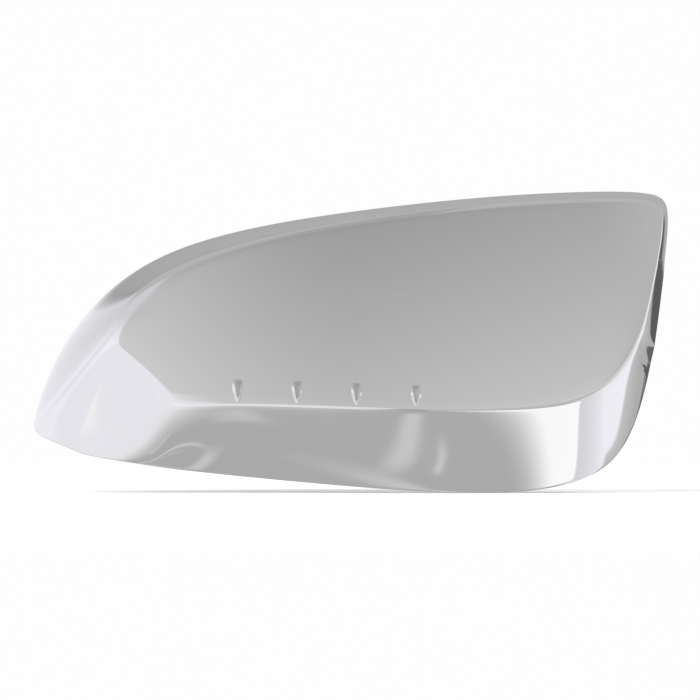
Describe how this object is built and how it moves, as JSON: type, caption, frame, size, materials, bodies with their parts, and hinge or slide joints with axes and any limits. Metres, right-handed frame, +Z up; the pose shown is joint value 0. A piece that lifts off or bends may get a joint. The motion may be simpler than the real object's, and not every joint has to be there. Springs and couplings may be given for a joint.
{
  "type": "wing mirror cover",
  "caption": "Chrome-plated cap that clips over a door mirror housing, with a bowed face, a sloped lower band, small air fins and an open back.",
  "frame": {"origin": "on the axis of the main locating pin, at its shoulder inside the cover", "axes": "+X from the outboard tip to the inboard end, +Z up as fitted on the door, -Y out of the face, +Y out of the open back, along the pins"},
  "size_m": [0.2498, 0.0715, 0.1187],
  "materials": {
    "chrome_plating": "bright decorative chrome plate on moulded ABS"
  },
  "bodies": {
    "root": {"mirror_cover": "chrome_plating"}
  },
  "joints": []
}
